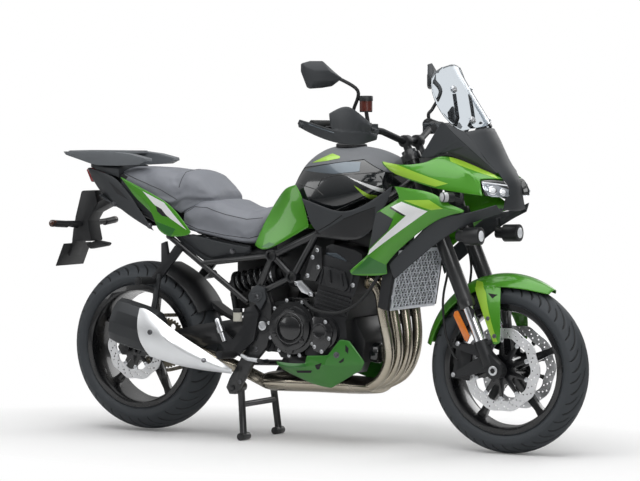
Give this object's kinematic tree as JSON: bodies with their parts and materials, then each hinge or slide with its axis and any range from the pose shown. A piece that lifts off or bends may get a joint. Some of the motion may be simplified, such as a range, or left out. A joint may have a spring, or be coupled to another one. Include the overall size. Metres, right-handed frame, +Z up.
{
  "type": "adventure motorcycle",
  "caption": "Adventure motorcycle with a tubular trellis frame, tall clear screen, shrouded tank, rear rack and low silencer; its wheels, steering and both stands move.",
  "frame": {"origin": "on the floor, under the middle of the machine's length and width", "axes": "+X forward, +Y to the rider's left, +Z up"},
  "size_m": [2.1771, 0.9622, 1.377],
  "materials": {
    "frame": "satin",
    "engine": "satin",
    "engine_covers": "satin",
    "radiator": "matt",
    "radiator_guard": "satin",
    "exhaust_pipes": "satin",
    "silencer": "satin",
    "heat_shield": "satin",
    "swingarm": "satin",
    "rear_shock": "gloss",
    "fuel_tank": "gloss",
    "knee_panels": "gloss",
    "side_panels": "matt",
    "shrouds": "gloss",
    "shroud_liners": "matt",
    "upper_cowl": "gloss",
    "nose_cowl": "matt",
    "windscreen": "clear",
    "instrument_panel": "matt",
    "headlamps": "clear",
    "fog_lamps": "matt",
    "indicators": "matt",
    "rider_seat": "matt",
    "passenger_seat": "matt",
    "tail_panels": "gloss",
    "tail_cover": "matt",
    "rear_carrier": "satin",
    "tail_lamp": "gloss",
    "plate_holder": "matt",
    "belly_cowl": "gloss",
    "footrests": "satin",
    "rear_hugger": "matt",
    "rear_brake": "satin",
    "drive_chain": "oiled",
    "fork_upper": "satin",
    "fork_tubes": "polished",
    "fork_feet": "satin",
    "handlebar": "satin",
    "levers": "satin",
    "handguards": "matt",
    "mirrors": "matt",
    "front_fender": "gloss",
    "front_calipers": "satin",
    "front_tyre": "matt",
    "front_rim": "gloss",
    "front_discs": "ground",
    "rear_tyre": "matt",
    "rear_rim": "gloss",
    "rear_disc": "ground",
    "rear_sprocket": "satin",
    "centre_stand": "satin",
    "side_stand": "satin"
  },
  "bodies": {
    "chassis": {"frame": "frame", "engine": "engine", "engine_covers": "engine_covers", "radiator": "radiator", "radiator_guard": "radiator_guard", "exhaust_pipes": "exhaust_pipes", "silencer": "silencer", "heat_shield": "heat_shield", "swingarm": "swingarm", "rear_shock": "rear_shock", "fuel_tank": "fuel_tank", "knee_panels": "knee_panels", "side_panels": "side_panels", "shrouds": "shrouds", "shroud_liners": "shroud_liners", "upper_cowl": "upper_cowl", "nose_cowl": "nose_cowl", "windscreen": "windscreen", "instrument_panel": "instrument_panel", "headlamps": "headlamps", "fog_lamps": "fog_lamps", "indicators": "indicators", "rider_seat": "rider_seat", "passenger_seat": "passenger_seat", "tail_panels": "tail_panels", "tail_cover": "tail_cover", "rear_carrier": "rear_carrier", "tail_lamp": "tail_lamp", "plate_holder": "plate_holder", "belly_cowl": "belly_cowl", "footrests": "footrests", "rear_hugger": "rear_hugger", "rear_brake": "rear_brake", "drive_chain": "drive_chain"},
    "steering": {"fork_upper": "fork_upper", "fork_tubes": "fork_tubes", "fork_feet": "fork_feet", "handlebar": "handlebar", "levers": "levers", "handguards": "handguards", "mirrors": "mirrors", "front_fender": "front_fender", "front_calipers": "front_calipers"},
    "front_wheel": {"front_tyre": "front_tyre", "front_rim": "front_rim", "front_discs": "front_discs"},
    "rear_wheel": {"rear_tyre": "rear_tyre", "rear_rim": "rear_rim", "rear_disc": "rear_disc", "rear_sprocket": "rear_sprocket"},
    "centre_stand": {"centre_stand": "centre_stand"},
    "side_stand": {"side_stand": "side_stand"}
  },
  "joints": [
    {"name": "steering_turn", "type": "hinge", "parent": "chassis", "child": "steering", "pos_m": [0.74547, 0, 0.28126], "axis": [-0.3987, 0, 0.9171], "range_deg": [-32, 32]},
    {"name": "front_wheel_spin", "type": "hinge", "parent": "steering", "child": "front_wheel", "pos_m": [0.78857, 0, 0.3], "axis": [0, 1, 0], "continuous": true},
    {"name": "rear_wheel_spin", "type": "hinge", "parent": "chassis", "child": "rear_wheel", "pos_m": [-0.71888, 0, 0.321], "axis": [0, 1, 0], "continuous": true},
    {"name": "centre_stand_fold", "type": "hinge", "parent": "chassis", "child": "centre_stand", "pos_m": [-0.25, 0, 0.195], "axis": [0, 1, 0], "range_deg": [0, 90]},
    {"name": "side_stand_swing", "type": "hinge", "parent": "chassis", "child": "side_stand", "pos_m": [-0.208, 0.184, 0.258], "axis": [-0.1028, 0.9766, 0.1891], "range_deg": [-104, 0]}
  ]
}
